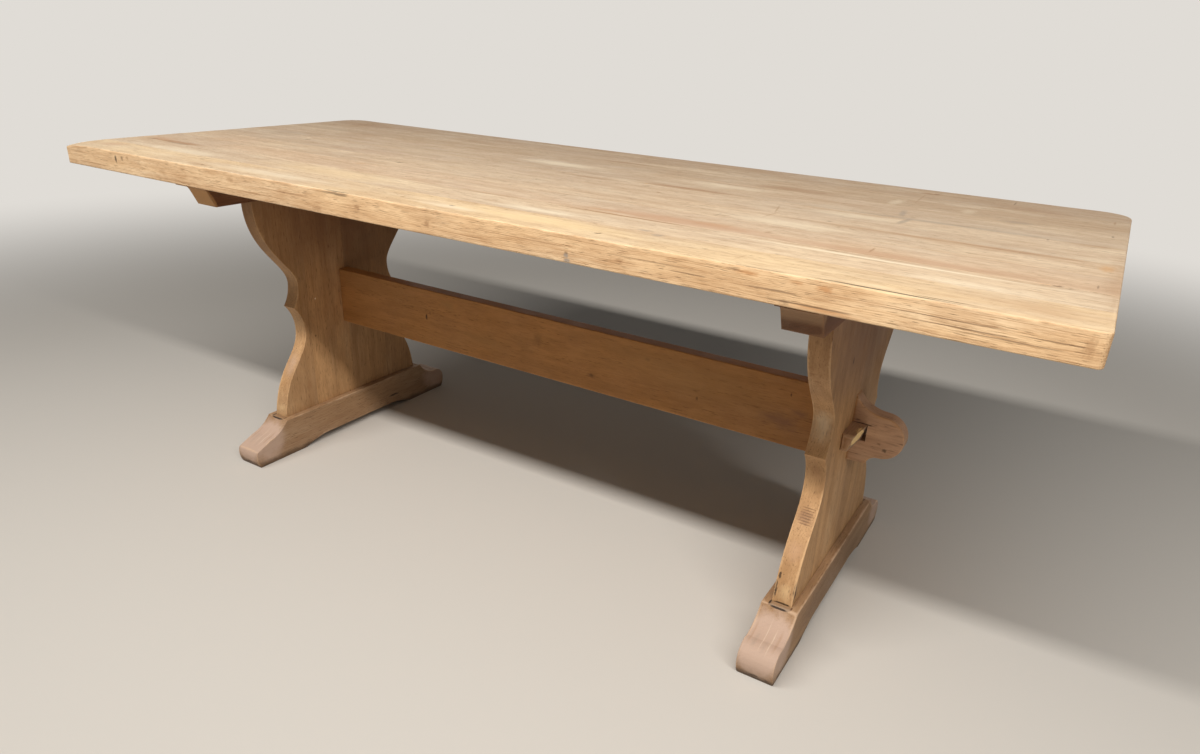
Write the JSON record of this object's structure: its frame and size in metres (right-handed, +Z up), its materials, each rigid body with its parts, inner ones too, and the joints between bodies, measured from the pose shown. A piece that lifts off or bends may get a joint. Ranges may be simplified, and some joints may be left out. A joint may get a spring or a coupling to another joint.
{
  "type": "trestle dining table",
  "caption": "Solid oak dining table: a thick plank top on two ogee-shaped end panels with sledge feet, tied by a wedged through-tenon stretcher.",
  "frame": {"origin": "on the floor, under the middle of the top", "axes": "+X along the table, +Y across it away from the thin ends of the wedges, +Z up"},
  "size_m": [2.11, 0.88, 0.76],
  "materials": {
    "top_oak": "worn and sealed, matt",
    "panel_oak": "sawn and sealed, matt",
    "stretcher_oak": "sawn and sealed, matt",
    "foot_oak": "worn, matt",
    "bearer_oak": "sawn, matt",
    "wedge_oak": "riven, matt",
    "inner_oak": "planed, bare",
    "steel": "zinc plated"
  },
  "bodies": {
    "table": {"bearer_left": "bearer_oak", "bearer_right": "bearer_oak", "filler_left_back": "foot_oak", "filler_left_front": "foot_oak", "filler_right_back": "foot_oak", "filler_right_front": "foot_oak", "foot_left": "foot_oak", "foot_right": "foot_oak", "foot_screw_washers": "steel", "foot_screws": "steel", "head_tenons": "inner_oak", "panel_left_board_1": "panel_oak", "panel_left_board_2": "panel_oak", "panel_left_board_3": "panel_oak", "panel_left_board_4": "panel_oak", "panel_right_board_1": "panel_oak", "panel_right_board_2": "panel_oak", "panel_right_board_3": "panel_oak", "panel_right_board_4": "panel_oak", "stretcher": "stretcher_oak", "top_board_1": "top_oak", "top_board_2": "top_oak", "top_board_3": "top_oak", "top_board_4": "top_oak", "top_board_5": "top_oak", "top_board_6": "top_oak", "top_board_7": "top_oak", "top_board_8": "top_oak", "top_screws": "steel", "top_tongues": "inner_oak"},
    "left_wedge": {"wedge_left": "wedge_oak"},
    "right_wedge": {"wedge_right": "wedge_oak"}
  },
  "joints": [
    {"name": "left_wedge_slide", "type": "slide", "parent": "table", "child": "left_wedge", "axis": [0, 1, 0], "range_m": [0, 0.1]},
    {"name": "right_wedge_slide", "type": "slide", "parent": "table", "child": "right_wedge", "axis": [0, 1, 0], "range_m": [0, 0.1]}
  ]
}
